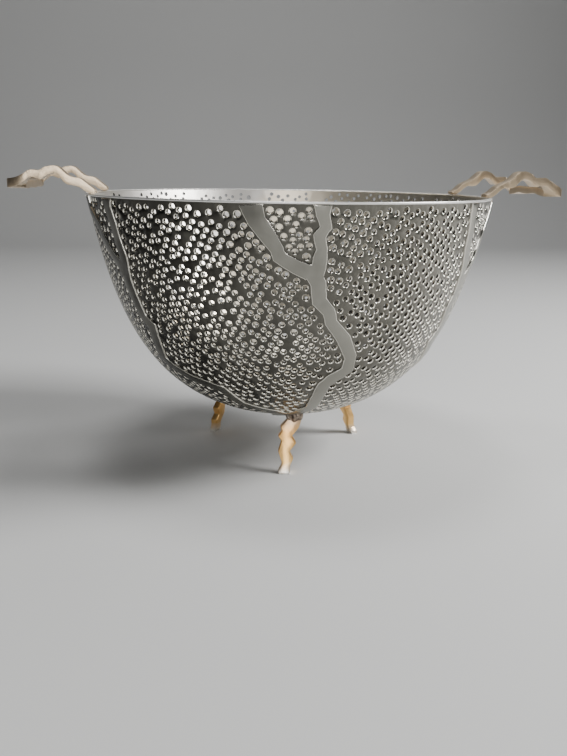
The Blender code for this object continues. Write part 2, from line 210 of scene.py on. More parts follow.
world = bpy.data.worlds.new("room")
world.use_nodes = True
world.node_tree.nodes["Background"].inputs["Color"].default_value = ROOM_COLOR
world.node_tree.nodes["Background"].inputs["Strength"].default_value = ROOM_STRENGTH
bpy.context.scene.world = world

camera = bpy.data.objects.new("camera", bpy.data.cameras.new("camera"))
camera.data.lens = LENS
camera.data.clip_start = CLIP_START
looking = Matrix.Rotation(math.radians(CAMERA_TURN), 4, "Z")
looking @= Matrix.Rotation(math.radians(90.0 - CAMERA_DOWN), 4, "X")
looking @= Matrix.Rotation(math.radians(CAMERA_ROLL), 4, "Z")
camera.matrix_world = Matrix.Translation(CAMERA_PLACE) @ looking
bpy.context.scene.collection.objects.link(camera)
bpy.context.scene.camera = camera


# Perforated wall.
# Sheet steel spun to a deep bowl and polished, its colour painted dark outside and bright inside
# for the shade and light on each side, and punched by hand with several thousand round holes whose
# edges roll inwards. Its shards meet under the seams.
RIM_RADIUS = 0.140
RIM_HEIGHT = 0.1872
BOWL_DEPTH = 0.1557
RIM_FLARE = math.radians(10.6)
SIDE_FULLNESS = 0.0893
BASE_FULLNESS = 0.0966
WALL = 0.0020
RIM_BAND = 0.0014
SEAM_RISE = 0.0011
SEAM_END = 0.997
SEAM_STEP = 0.0024
SEAM_JAG = 0.0003
MITRE_LIMIT = 0.6
FOOT_TIP_RADII = {"foot_front": 0.0615, "foot_back_right": 0.0615, "foot_back_left": 0.0645}
FOOT_AZIMUTHS = {"foot_front": -95.4, "foot_back_right": 24.2, "foot_back_left": 146.0}
FOOT_SPLAY = math.radians(15.0)
WELD_PAD_RADIUS = 0.0105
PAD_SIDES = 28
PAD_ROUNDS = 20
POLE_CLEARANCE = 0.004
SEAM_POLE_CLEARANCE = 0.010
POLE_RINGS = ((0.0, 1), (0.0025, 6))
AROUND = 288
HOLE_AREA = 0.0000247
HOLE_SIDES = 12
HOLE_RADII = (0.00125, 0.00175)
EDGE_HOLE_RADII = (0.00140, 0.00185)
HOLE_SPACING = 0.0041
HOLE_JITTER = 0.0009
HOLE_TWIST = 0.37
DARTS_PER_HOLE = 6
EDGE_SPACING = 1.2 * HOLE_SPACING
EDGE_DRIFT = (-0.0006, 0.0004)
EDGE_SHARES = (0.0, 0.34, 0.67)
EDGE_GAP = 0.0006
SEAM_GAP = 0.0004
LIP_GAP = 0.0002
LIP_WIDTH = 0.00055
LIP_DEPTH = 0.00060
CROWD_CELL = 0.006
SAME_POINT = 5e-6
FEWEST_FACES = 60
WALL_SHARP = 50.0
# Painted shade across the outer polish and the seams: share per metre along X, share of the clouds, and share
# at X = 0.
PAINTED_SHADE_SLOPE = 2.2
PAINTED_SHADE_CLOUDS = 0.5
PAINTED_SHADE_MIDDLE = 0.25
GOLDEN_TURN = math.pi * (3.0 - math.sqrt(5.0))
MM = 0.001

# Each seam runs through points of (azimuth in degrees, share of the way from the bottom to the
# rim, width in mm).
SEAMS = {
    "front_trunk": [
        (-91.2, 0.843, 10), (-89.0, 0.800, 9.5), (-88.3, 0.752, 9), (-85.4, 0.722, 8), (-84.3, 0.690, 7.5),
        (-79.8, 0.640, 9), (-77.8, 0.606, 8.5), (-76.0, 0.578, 8), (-75.7, 0.532, 8.5), (-78.9, 0.508, 10),
        (-82.2, 0.476, 9), (-82.9, 0.447, 9), (-83.5, 0.390, 9), (-83.8, 0.340, 9), (-89.0, 0.285, 9),
        (-95.4, 0.235, 9),
    ],
    "front_left_branch": [
        (-105.1, 0.997, 14), (-103.9, 0.955, 11), (-101.5, 0.920, 10), (-99.2, 0.885, 8), (-98.6, 0.866, 8),
        (-94.6, 0.842, 9), (-91.2, 0.828, 10),
    ],
    "front_right_branch": [
        (-89.0, 0.997, 10.5), (-88.7, 0.968, 8), (-88.0, 0.940, 7), (-89.4, 0.921, 7), (-88.6, 0.888, 7),
        (-89.0, 0.850, 9), (-89.6, 0.820, 10),
    ],
    "left_trunk": [
        (-148.2, 0.820, 10), (-148.2, 0.755, 11), (-147.2, 0.700, 10), (-146.4, 0.660, 9), (-143.6, 0.640, 9),
        (-145.6, 0.572, 9), (-147.8, 0.520, 9), (-144.0, 0.492, 9), (-136.5, 0.460, 8.5), (-129.5, 0.446, 8),
        (-123.5, 0.430, 8), (-121.5, 0.394, 8), (-119.0, 0.352, 7.5), (-110.5, 0.318, 7), (-104.0, 0.300, 7),
        (-96.5, 0.250, 8),
    ],
    "left_branch": [
        (-165.6, 0.997, 9), (-164.8, 0.955, 8), (-158.8, 0.915, 8), (-157.6, 0.885, 8), (-153.0, 0.835, 8),
        (-148.6, 0.800, 9),
    ],
    "left_front_branch": [
        (-148.8, 0.997, 12.5), (-149.0, 0.970, 9), (-148.0, 0.928, 8.5), (-147.5, 0.885, 8.5),
        (-146.7, 0.842, 9), (-148.2, 0.790, 11),
    ],
    "right_trunk": [
        (-34.8, 0.745, 9.5), (-36.4, 0.690, 9), (-34.0, 0.636, 9), (-36.5, 0.585, 9), (-32.0, 0.533, 8.5),
        (-20.0, 0.470, 8.5), (-14.5, 0.430, 8), (0.0, 0.395, 8), (7.0, 0.345, 8), (19.0, 0.300, 8),
        (24.2, 0.240, 8),
    ],
    "right_front_branch": [
        (-42.0, 0.997, 9), (-41.6, 0.968, 8), (-40.2, 0.930, 8.5), (-39.0, 0.872, 8.5), (-35.8, 0.808, 9),
        (-34.9, 0.740, 9),
    ],
    "right_branch": [
        (-17.0, 0.997, 9), (-19.5, 0.955, 8.5), (-25.2, 0.900, 8.5), (-26.6, 0.835, 9), (-32.4, 0.775, 9),
        (-34.8, 0.740, 9),
    ],
    "back_right_trunk": [
        (84.0, 0.842, 10), (82.0, 0.785, 9.5), (86.5, 0.735, 9), (79.5, 0.685, 9), (76.5, 0.630, 8.5),
        (79.5, 0.575, 8.5), (70.0, 0.530, 8.5), (66.5, 0.480, 8), (55.0, 0.445, 8), (49.0, 0.395, 8),
        (36.0, 0.340, 8), (30.0, 0.290, 8), (24.2, 0.240, 8),
    ],
    "back_right_branch": [
        (72.0, 0.997, 14), (73.5, 0.950, 10), (78.5, 0.905, 9), (79.5, 0.868, 9), (84.0, 0.830, 10),
    ],
    "back_middle_branch": [
        (95.0, 0.997, 14), (93.5, 0.945, 10), (89.5, 0.905, 9), (88.5, 0.868, 9), (84.0, 0.830, 10),
    ],
    "back_side_crack": [
        (28.0, 0.997, 12), (26.5, 0.940, 9), (29.5, 0.885, 8.5), (22.0, 0.820, 9), (20.5, 0.755, 8.5),
        (12.0, 0.690, 8.5), (13.5, 0.630, 8.5), (5.0, 0.565, 8), (6.5, 0.505, 8), (-1.5, 0.450, 8),
        (0.5, 0.395, 8),
    ],
    "back_left_trunk": [
        (150.0, 0.805, 10), (148.0, 0.740, 10), (144.5, 0.690, 9), (148.5, 0.630, 9), (143.0, 0.570, 9),
        (146.0, 0.505, 8.5), (140.5, 0.445, 8.5), (147.0, 0.385, 8), (142.0, 0.320, 8), (146.0, 0.240, 8),
    ],
    "back_left_side_branch": [
        (165.0, 0.997, 9), (163.5, 0.945, 8.5), (157.5, 0.905, 8.5), (156.5, 0.860, 8.5), (150.0, 0.800, 9),
    ],
    "back_left_branch": [
        (148.6, 0.997, 12.5), (150.0, 0.945, 9), (147.0, 0.890, 8.5), (149.5, 0.835, 9), (149.0, 0.790, 10),
    ],
    "back_small_crack": [
        (119.5, 0.997, 10), (121.5, 0.940, 8), (118.0, 0.885, 8), (125.0, 0.815, 8), (124.0, 0.750, 8),
        (132.0, 0.690, 8), (131.0, 0.630, 8), (140.0, 0.570, 8), (142.5, 0.545, 8),
    ],
}


class WallCurve:
    """Profile of the outer skin from the middle of the bottom to the rim, by length along the wall."""

    SAMPLES = 500

    def __init__(self):
        rim = Vector((RIM_RADIUS, 0.0, RIM_HEIGHT))
        pole = Vector((0.0, 0.0, RIM_HEIGHT - BOWL_DEPTH))
        rim_handle = rim - SIDE_FULLNESS * Vector((math.sin(RIM_FLARE), 0.0, math.cos(RIM_FLARE)))
        pole_handle = pole + Vector((BASE_FULLNESS, 0.0, 0.0))
        self.points = interpolate_bezier(pole, pole_handle, rim_handle, rim, self.SAMPLES)
        self.arcs = [0.0]
        self.spreads = [0.0]
        self.areas = [0.0]
        for before, after in zip(self.points, self.points[1:]):
            length = (after - before).length
            middle = (before.x + after.x) / 2.0
            self.arcs.append(self.arcs[-1] + length)
            self.spreads.append(self.spreads[-1] * math.exp(length / middle) or self.arcs[-1])
            self.areas.append(self.areas[-1] + 2.0 * math.pi * middle * length)
        self.length = self.arcs[-1]

    def read(self, keys, values, key):
        """Value at a key, between the two samples beside it."""
        step = min(max(bisect.bisect_right(keys, key) - 1, 0), self.SAMPLES - 2)
        share = min(max((key - keys[step]) / (keys[step + 1] - keys[step]), 0.0), 1.0)
        return values[step] + share * (values[step + 1] - values[step])

    def at(self, arc, rise=0.0):
        """Radius and height, moved out from the wall by rise."""
        step = min(max(bisect.bisect_right(self.arcs, arc) - 1, 0), self.SAMPLES - 2)
        before, after = self.points[step], self.points[step + 1]
        share = (arc - self.arcs[step]) / (self.arcs[step + 1] - self.arcs[step])
        point = before.lerp(after, min(max(share, 0.0), 1.0))
        along = (after - before).normalized()
        return max(point.x + rise * along.z, 0.0), point.z - rise * along.x

    def place(self, arc, azimuth, rise=0.0):
        """Point in space."""
        radius, height = self.at(arc, rise)
        return Vector((radius * math.cos(azimuth), radius * math.sin(azimuth), height))

    def lay_out(self, arc, azimuth):
        """Place on a flat disc, on which small circles stay round."""
        spread = self.read(self.arcs, self.spreads, arc)
        return Vector((spread * math.cos(azimuth), spread * math.sin(azimuth)))

    def lift(self, point):
        """Arc and azimuth of a place on the flat disc."""
        return self.read(self.spreads, self.arcs, point.length), math.atan2(point.y, point.x)

    def arc_at_radius(self, radius):
        """Arc where the outer skin reaches a radius."""
        return self.read([point.x for point in self.points], self.arcs, radius)


wall = WallCurve()
random.seed(7)


def seam_outline(path):
    """Closed outline of one seam as (arc, azimuth) points, mitred at each bend."""
    stations = [(math.radians(az), share * wall.length, width * MM / 2.0) for az, share, width in path]
    flows = []
    for (az_a, arc_a, _), (az_b, arc_b, _) in zip(stations, stations[1:]):
        radius = wall.at((arc_a + arc_b) / 2.0)[0]
        flows.append(Vector((arc_b - arc_a, radius * (az_b - az_a))).normalized())
    left, right = [], []
    for index, (azimuth, arc, half_width) in enumerate(stations):
        flow_in = flows[max(index - 1, 0)]
        flow_out = flows[min(index, len(flows) - 1)]
        flow = (flow_in + flow_out).normalized()
        reach = half_width / max(flow.dot(flow_out), MITRE_LIMIT)
        radius = wall.at(arc)[0]
        for edge, side in ((left, 1.0), (right, -1.0)):
            edge_arc = min(arc - side * reach * flow.y, SEAM_END * wall.length)
            edge.append((edge_arc, azimuth + side * reach * flow.x / radius))
    corners = right + left[::-1]
    points = []
    for (arc_a, az_a), (arc_b, az_b) in zip(corners, corners[1:] + corners[:1]):
        parts = max(1, round((wall.place(arc_b, az_b) - wall.place(arc_a, az_a)).length / SEAM_STEP))
        radius = max(wall.at(arc_a)[0], POLE_CLEARANCE)
        for part in range(parts):
            arc = arc_a + (arc_b - arc_a) * part / parts
            azimuth = az_a + (az_b - az_a) * part / parts
            jag = random.uniform(-SEAM_JAG, SEAM_JAG)
            points.append((min(arc + jag, SEAM_END * wall.length), azimuth - jag / radius))
    return points


def ring_on_wall(arc, azimuth, size, sides, start=0.0):
    """Circle on the wall as (arc, azimuth) points."""
    radius = max(wall.at(arc)[0], size)
    turns = [start + 2.0 * math.pi * side / sides for side in range(sides)]
    return [(arc + size * math.cos(turn), azimuth + size * math.sin(turn) / radius) for turn in turns]


def weld_pad_arc(tip_radius):
    """Arc at the middle of the pad that a foot is welded to."""
    radius = tip_radius
    for _ in range(PAD_ROUNDS):
        height = wall.at(wall.arc_at_radius(radius), SEAM_RISE)[1]
        radius = tip_radius - height * math.tan(FOOT_SPLAY)
    return wall.arc_at_radius(radius)


def inside(point, outline):
    """Whether a flat point lies within an outline of flat points."""
    x, y = point
    within = False
    for (ax, ay), (bx, by) in zip(outline, outline[1:] + outline[:1]):
        if (ay > y) != (by > y) and x < ax + (bx - ax) * (y - ay) / (by - ay):
            within = not within
    return within


class Crowd:
    """Points in space that keep their distance, found by the cell that they lie in."""

    def __init__(self, cell):
        self.cell = cell
        self.cells = {}

    def key(self, place):
        return tuple(int(math.floor(value / self.cell)) for value in place)

    def add(self, place):
        self.cells.setdefault(self.key(place), []).append(place)

    def nearest(self, place, but_itself=False):
        """Distance to the nearest point in the cells around a place."""
        a, b, c = self.key(place)
        best = self.cell
        for i in (a - 1, a, a + 1):
            for j in (b - 1, b, b + 1):
                for k in (c - 1, c, c + 1):
                    for other in self.cells.get((i, j, k), ()):
                        gap = (other - place).length
                        if gap < best and not (but_itself and gap < 1e-9):
                            best = gap
        return best


def punch_plan(outlines):
    """Centres and sizes of the holes: rows that follow the seams' edges first, then a spiral fill."""
    top = wall.length - RIM_BAND
    edges = Crowd(CROWD_CELL)
    for outline in outlines:
        for (arc_a, az_a), (arc_b, az_b) in zip(outline, outline[1:] + outline[:1]):
            for share in EDGE_SHARES:
                edges.add(wall.place(arc_a + share * (arc_b - arc_a), az_a + share * (az_b - az_a)))
    flats = [[wall.lay_out(*point) for point in outline] for outline in outlines]
    boxes = []
    for flat in flats:
        xs, ys = [p.x for p in flat], [p.y for p in flat]
        boxes.append((min(xs), max(xs), min(ys), max(ys)))

    wanted = []
    for outline in outlines:
        run = 0.0
        for (arc_a, az_a), (arc_b, az_b) in zip(outline, outline[1:] + outline[:1]):
            radius = max(wall.at(arc_a)[0], SEAM_POLE_CLEARANCE)
            flow = Vector((arc_b - arc_a, radius * (az_b - az_a)))
            run += flow.length
            if run < EDGE_SPACING:
                continue
            run = random.uniform(*EDGE_DRIFT)
            size = random.uniform(*EDGE_HOLE_RADII)
            away = (size + LIP_WIDTH + EDGE_GAP) / max(flow.length, 1e-6)
            wanted.append((arc_a + flow.y * away, az_a - flow.x * away / radius, size))
            wanted.append((arc_a - flow.y * away, az_a + flow.x * away / radius, size))
    count = int(wall.areas[-1] / HOLE_AREA)
    for step in range(1, count):
        arc = wall.read(wall.areas, wall.arcs, wall.areas[-1] * step / count)
        radius = max(wall.at(arc)[0], POLE_CLEARANCE)
        arc += random.uniform(-HOLE_JITTER, HOLE_JITTER)
        azimuth = (step * GOLDEN_TURN + random.uniform(-HOLE_JITTER, HOLE_JITTER) / radius) % (2.0 * math.pi)
        wanted.append((arc, azimuth, random.uniform(*HOLE_RADII)))
    for _ in range(DARTS_PER_HOLE * count):
        arc = wall.read(wall.areas, wall.arcs, wall.areas[-1] * random.random())
        wanted.append((arc, random.uniform(-math.pi, math.pi), random.uniform(*HOLE_RADII)))

    crowd = Crowd(CROWD_CELL)
    taken = []
    for arc, azimuth, size in wanted:
        if not POLE_CLEARANCE < arc < top - size - LIP_WIDTH - SEAM_GAP:
            continue
        place = wall.place(arc, azimuth)
        if edges.nearest(place) < size + LIP_WIDTH + SEAM_GAP or crowd.nearest(place) < HOLE_SPACING:
            continue
        flat_point = wall.lay_out(arc, azimuth)
        if any(
            low_x < flat_point.x < high_x and low_y < flat_point.y < high_y and inside(flat_point, flat)
            for flat, (low_x, high_x, low_y, high_y) in zip(flats, boxes)
        ):
            continue
        crowd.add(place)
        taken.append((arc, azimuth, size, place))
    return [
        (arc, azimuth, min(size, crowd.nearest(place, True) / 2.0 - LIP_WIDTH - LIP_GAP))
        for arc, azimuth, size, place in taken
    ]


pad_arcs = {name: weld_pad_arc(tip_radius) for name, tip_radius in FOOT_TIP_RADII.items()}
outlines = [seam_outline(path) for path in SEAMS.values()]
for name, azimuth in FOOT_AZIMUTHS.items():
    outlines.append(ring_on_wall(pad_arcs[name], math.radians(azimuth), WELD_PAD_RADIUS, PAD_SIDES))
holes = punch_plan(outlines)

layout = []
hole_of = {}
regions = []
for outline in outlines:
    regions.append(list(range(len(layout), len(layout) + len(outline))))
    layout += outline
seam_regions = len(regions)
for number, (arc, azimuth, size) in enumerate(holes):
    ring = ring_on_wall(arc, azimuth, size + LIP_WIDTH, HOLE_SIDES, start=number * HOLE_TWIST)
    for index in range(len(layout), len(layout) + HOLE_SIDES):
        hole_of[index] = number
    regions.append(list(range(len(layout), len(layout) + HOLE_SIDES)))
    layout += ring
rim_start = len(layout)
layout += [(wall.length - RIM_BAND, 2.0 * math.pi * step / AROUND) for step in range(AROUND)]
regions.append(list(range(rim_start, rim_start + AROUND)))
rim_region = len(regions) - 1
for radius, count in POLE_RINGS:
    layout += [(radius, 2.0 * math.pi * step / count) for step in range(count)]
flat = [wall.lay_out(arc, azimuth) for arc, azimuth in layout]
points, _, faces, origins, _, sources = delaunay_2d_cdt(flat, [], regions, 0, SAME_POINT)
spots = [wall.lift(point) for point in points]
hole_at = [
    next((hole_of[origin] for origin in origin_list if origin in hole_of), None)
    for origin_list in origins
]


def split_shards():
    """Faces of the seams, and the faces between the holes in groups that no seam or foot line crosses."""
    seam_faces, web = [], []
    for face, source in zip(faces, sources):
        if rim_region not in source:
            continue
        if any(region < seam_regions for region in source):
            seam_faces.append(face)
        elif source == [rim_region]:
            web.append(face)
    foot_lines = sorted(math.radians(az % 360.0) for az in FOOT_AZIMUTHS.values())
    top_pad = max(pad_arcs.values())
    sectors = []
    for face in web:
        middle = sum((points[index] for index in face), Vector((0.0, 0.0))) / 3.0
        arc, azimuth = wall.lift(middle)
        sector = bisect.bisect_left(foot_lines, azimuth % (2.0 * math.pi)) % len(foot_lines)
        sectors.append(sector if arc < top_pad else None)
    sides = {}
    for number, face in enumerate(web):
        for side in zip(face, face[1:] + face[:1]):
            sides[side] = number
    group_of = {}
    groups = []
    for start in range(len(web)):
        if start in group_of:
            continue
        group_of[start] = len(groups)
        waiting, group = [start], []
        while waiting:
            number = waiting.pop()
            group.append(web[number])
            face = web[number]
            for a, b in zip(face, face[1:] + face[:1]):
                other = sides.get((b, a))
                if other is None or other in group_of:
                    continue
                if None not in (sectors[number], sectors[other]) and sectors[number] != sectors[other]:
                    continue
                group_of[other] = len(groups)
                waiting.append(other)
        groups.append(group)
    shards = sorted((group for group in groups if len(group) > FEWEST_FACES), key=len, reverse=True)
    for group in groups:
        if len(group) <= FEWEST_FACES:
            seam_faces += group
    return seam_faces, shards


def to_centre(index, share):
    """Point between a hole's middle and a point of its ring."""
    arc, azimuth, _ = holes[hole_at[index]]
    ring_arc, ring_azimuth = spots[index]
    turn = (ring_azimuth - azimuth + math.pi) % (2.0 * math.pi) - math.pi
    return arc + share * (ring_arc - arc), azimuth + share * turn


OUTER_SKIN, ROLLED, INNER_SKIN, PUNCHED = range(4)


def make_shard(name, web, finishes):
    """One perforated shard: outer skin, rolled hole edges, hole walls and inner skin."""
    bm = bmesh.new()
    levels = {}

    def corner(index, level):
        """Vertex of a layout point on the outer skin (0), the rolled edge (1) or the inner skin (2)."""
        if (index, level) not in levels:
            hole = hole_at[index]
            if level and hole is not None:
                size = holes[hole][2]
                arc, azimuth = to_centre(index, size / (size + LIP_WIDTH))
            else:
                arc, azimuth = spots[index]
            rise = (0.0, -LIP_DEPTH, -WALL)[level]
            levels[index, level] = bm.verts.new(wall.place(arc, azimuth, rise))
        return levels[index, level]

    sides = set()
    for face in web:
        outward = face[::-1]
        bm.faces.new([corner(index, 0) for index in outward]).material_index = OUTER_SKIN
        bm.faces.new([corner(index, 2) for index in face]).material_index = INNER_SKIN
        sides.update(zip(outward, outward[1:] + outward[:1]))
    for a, b in sides:
        if (b, a) in sides:
            continue
        rolled = hole_at[a] is not None and hole_at[a] == hole_at[b]
        steps = (0, 1, 2) if rolled else (0, 2)
        for level, below in zip(steps, steps[1:]):
            wall_face = bm.faces.new([corner(b, level), corner(a, level), corner(a, below), corner(b, below)])
            wall_face.material_index = ROLLED if level == 0 else PUNCHED
    shard = add_piece(name, bm, *finishes)
    smooth(shard, WALL_SHARP)
    return shard


def painted_shade_across(finish, clouds):
    """Painted shade and light of the outer polish, from dark at -X to light at +X, with soft clouds in it."""
    return finish.along("X") * PAINTED_SHADE_SLOPE + clouds * PAINTED_SHADE_CLOUDS + PAINTED_SHADE_MIDDLE


# The outer polish's colour is painted shade: dark overall for the dim surroundings that it reflects, darkest
# at -X and lighter at +X.
outside = Finish("polish_painted_shade", Metallic=1.0)
cloudy = outside.noise(26.0, 4.0)
fine = outside.noise(420.0, 3.0)
outside.set(outside.shader.inputs["Base Color"], outside.ramp(painted_shade_across(outside, cloudy), [
    (0.20, (0.024, 0.023, 0.020, 1.0)),
    (0.80, (0.225, 0.216, 0.188, 1.0)),
]))
outside.set(outside.shader.inputs["Roughness"], 0.20 + cloudy * 0.12 + fine * 0.06)
outside.bump(fine + outside.noise(110.0, 2.0) * 2.0, 0.00025)

# The rolled hole edges are painted near white, far brighter than the outer polish of the same sheet: a
# painted highlight.
rolled_edge_highlight = Finish("hole_edge_painted_highlight", Base_Color=(0.86, 0.83, 0.74, 1.0), Metallic=1.0, Roughness=0.12)
# The hole walls are painted dark: painted shade inside the holes.
punched = Finish("hole_wall_painted_shade", Base_Color=(0.12, 0.115, 0.10, 1.0), Metallic=1.0, Roughness=0.26)

# Painted light and shade on the inside: brightest near the rim and towards -X, where the light
# falls, and dark low down towards +X.
inside_metal = Finish("inside_painted_light_and_shade", Metallic=1.0)
soft = inside_metal.noise(18.0, 3.0)
bright = inside_metal.along("Z") * 3.2 - inside_metal.along("X") * 3.5 + soft * 0.14 + 0.32
inside_metal.set(inside_metal.shader.inputs["Base Color"], inside_metal.ramp(bright, [
    (0.44, (0.11, 0.105, 0.092, 1.0)),
    (0.60, (0.88, 0.82, 0.69, 1.0)),
    (0.95, (1.00, 0.89, 0.71, 1.0)),
    (1.00, (1.00, 0.96, 0.90, 1.0)),
]))
inside_metal.set(inside_metal.shader.inputs["Roughness"], 0.30 + soft * 0.10)

seam_faces, shards = split_shards()
for number, web in enumerate(shards, start=1):
    shard = make_shard(f"shard_{number:02d}", web, (outside, rolled_edge_highlight, inside_metal, punched))
    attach(shard, "root")
    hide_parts("bowl")


# Seams.
# Smooth bands that stand a millimetre proud where the shards meet, and the round pads above the
# feet. They are built up in weld, ground to soft rounded edges and polished.
SEAM_EDGE = 0.0006
EDGE_STEPS = 3
INNER_LEVEL = EDGE_STEPS + 1
SEAM_SHARP = 60.0
SEAM_TOP, SEAM_SIDE, SEAM_INSIDE = range(3)


def make_seams():
    """Closed body of all seams, with rounded upper edges."""
    sides = set()
    for face in seam_faces:
        outward = face[::-1]
        sides.update(zip(outward, outward[1:] + outward[:1]))
    outline_sides = [(a, b) for a, b in sides if (b, a) not in sides]
    inward = {}
    for a, b in outline_sides:
        start, end = wall.place(*spots[a]), wall.place(*spots[b])
        lean = (wall.place(*spots[a], SEAM_RISE) - start).cross(end - start).normalized()
        for index in (a, b):
            inward[index] = inward.get(index, Vector((0.0, 0.0, 0.0))) + lean

    bm = bmesh.new()
    levels = {}

    def corner(index, level):
        """Vertex of a layout point, from the seam's top (0) over its rounded edge to the inside."""
        if (index, level) not in levels:
            if level == INNER_LEVEL:
                place = wall.place(*spots[index], -WALL)
            else:
                turn = math.pi / 2.0 * level / EDGE_STEPS
                lean = inward.get(index, Vector((0.0, 0.0, 0.0))).normalized()
                place = wall.place(*spots[index], SEAM_RISE - SEAM_EDGE * (1.0 - math.cos(turn)))
                place += lean * SEAM_EDGE * (1.0 - math.sin(turn))
            levels[index, level] = bm.verts.new(place)
        return levels[index, level]

    for face in seam_faces:
        bm.faces.new([corner(index, 0) for index in face[::-1]]).material_index = SEAM_TOP
        bm.faces.new([corner(index, INNER_LEVEL) for index in face]).material_index = SEAM_INSIDE
    for a, b in outline_sides:
        for level in range(INNER_LEVEL):
            below = level + 1
            side = bm.faces.new([corner(b, level), corner(a, level), corner(a, below), corner(b, below)])
            side.material_index = SEAM_SIDE
    return bm


# The seams' colour carries the same painted shade as the outer polish: dark at -X, lighter at +X.
seam_metal = Finish("seam_metal", Metallic=1.0)
seam_cloud = seam_metal.noise(30.0, 3.0)
seam_metal.set(seam_metal.shader.inputs["Base Color"], seam_metal.ramp(painted_shade_across(seam_metal, seam_cloud), [
    (0.20, (0.075, 0.073, 0.064, 1.0)),
    (0.48, (0.300, 0.293, 0.260, 1.0)),
    (0.80, (0.360, 0.350, 0.310, 1.0)),
]))
seam_metal.set(seam_metal.shader.inputs["Roughness"], 0.24 + seam_cloud * 0.12)
seam_metal.bump(seam_metal.noise(90.0, 3.0), 0.0004)
# The seams' rounded edges are painted brighter than their tops, in the same metal: a painted highlight.
seam_edge_highlight = Finish("seam_edge_highlight", Base_Color=(0.62, 0.60, 0.54, 1.0), Metallic=1.0, Roughness=0.18)

seams = add_piece("seams", make_seams(), seam_metal, seam_edge_highlight, inside_metal)
smooth(seams, SEAM_SHARP)
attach(seams, "root")
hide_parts("bowl")


# Rim.
# The sheet's own upper edge, folded to a narrow flat bead, with rounded corners and polished,
# its near-white colour a painted highlight. The handles' legs are welded on it.
RIM_RISE = 0.0004
RIM_ROUND = 0.0006
RIM_SHARP = 40.0
SAME_HEIGHT = 1e-7
SAME_RADIUS = 1e-6

bm = bmesh.new()
rim_low = wall.length - RIM_BAND
flare = 1.0 / math.cos(RIM_FLARE)
profile = [
    wall.at(rim_low, RIM_RISE),
    (RIM_RADIUS + RIM_RISE * flare, RIM_HEIGHT),
    (RIM_RADIUS - WALL * flare, RIM_HEIGHT),
    wall.at(rim_low, -WALL),
]
corners = [bm.verts.new((radius, 0.0, height)) for radius, height in profile]
ring = [bm.edges.new(pair) for pair in zip(corners, corners[1:] + corners[:1])]
bmesh.ops.spin(bm, geom=ring, cent=(0, 0, 0), axis=(0, 0, 1), angle=2 * math.pi, steps=AROUND, use_merge=True)
bmesh.ops.remove_doubles(bm, verts=bm.verts, dist=SAME_HEIGHT)
bmesh.ops.recalc_face_normals(bm, faces=bm.faces)
around = [
    edge for edge in bm.edges
    if abs(edge.verts[0].co.z - edge.verts[1].co.z) < SAME_HEIGHT
    and abs(edge.verts[0].co.xy.length - edge.verts[1].co.xy.length) < SAME_RADIUS
]
bmesh.ops.bevel(
    bm, geom=around, offset=RIM_ROUND, offset_type="OFFSET", segments=3, profile=0.5, affect="EDGES",
    clamp_overlap=True, material=-1,
)
# The rim's near-white colour is a painted highlight.
rim_metal_highlight = Finish("rim_metal_highlight", Base_Color=(0.97, 0.96, 0.93, 1.0), Metallic=1.0, Roughness=0.38)
rim = add_piece("rim", bm, rim_metal_highlight)
smooth(rim, RIM_SHARP)
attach(rim, "root")
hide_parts("bowl")


# Handles.
# Two flat steel bars, sawn in waves along both edges and bent to a loop, whose legs are welded
# to the rim. Their faces are satin, warm in tone from the heat, with rounded edges.
HANDLE_SPACING = 0.0750
HANDLE_WIDTH = 0.0115
HANDLE_REACH = 0.0465
HANDLE_CORNER = 0.0062
HANDLE_LIFT = 0.0003
HANDLE_EDGE = 0.0010
HANDLE_STEPS = 5
HANDLE_SHARP = 50.0
LONG_EDGE_TURN = 1.0
# The waves of each handle in mm. An arm's stations are (distance out from the leg, underside, top),
# and those of the corner and of half the cross bar are (underside, top), all above the rim.
HANDLE_WAVES = {
    "handle_right": {
        "arm": [
            (-5.0, 0.0, 1.8), (-2.0, 0.0, 3.4), (1.6, 2.4, 6.6), (3.7, 4.4, 7.9), (6.9, 6.2, 9.4),
            (10.4, 6.1, 11.0), (13.7, 7.0, 13.9), (16.6, 9.9, 16.4), (19.0, 11.9, 17.2), (21.0, 12.3, 17.4),
            (24.8, 10.8, 16.1), (28.8, 7.4, 13.1), (32.5, 8.4, 13.2), (36.0, 7.8, 13.2), (39.6, 5.2, 10.6),
        ],
        "corner": [(1.6, 7.8), (0.9, 5.6), (0.7, 5.2)],
        "cross": [(1.4, 6.0), (2.6, 7.2), (2.0, 6.6)],
    },
    "handle_left": {
        "arm": [
            (-5.0, 0.0, 2.2), (-2.0, 0.0, 4.6), (1.2, 1.3, 7.2), (4.3, 3.5, 9.2), (9.1, 5.0, 10.0),
            (11.7, 5.3, 11.2), (14.3, 7.0, 13.5), (17.2, 10.5, 16.0), (20.2, 12.3, 16.9), (24.0, 11.2, 16.4),
            (26.0, 10.3, 15.9), (28.8, 8.2, 14.2), (30.8, 8.9, 13.8), (33.6, 9.7, 14.2), (36.8, 9.1, 13.5),
            (39.6, 6.4, 11.3),
        ],
        "corner": [(3.9, 9.3), (3.2, 8.7), (2.9, 8.0)],
        "cross": [(2.2, 6.9), (2.9, 7.5), (2.2, 6.9)],
    },
}


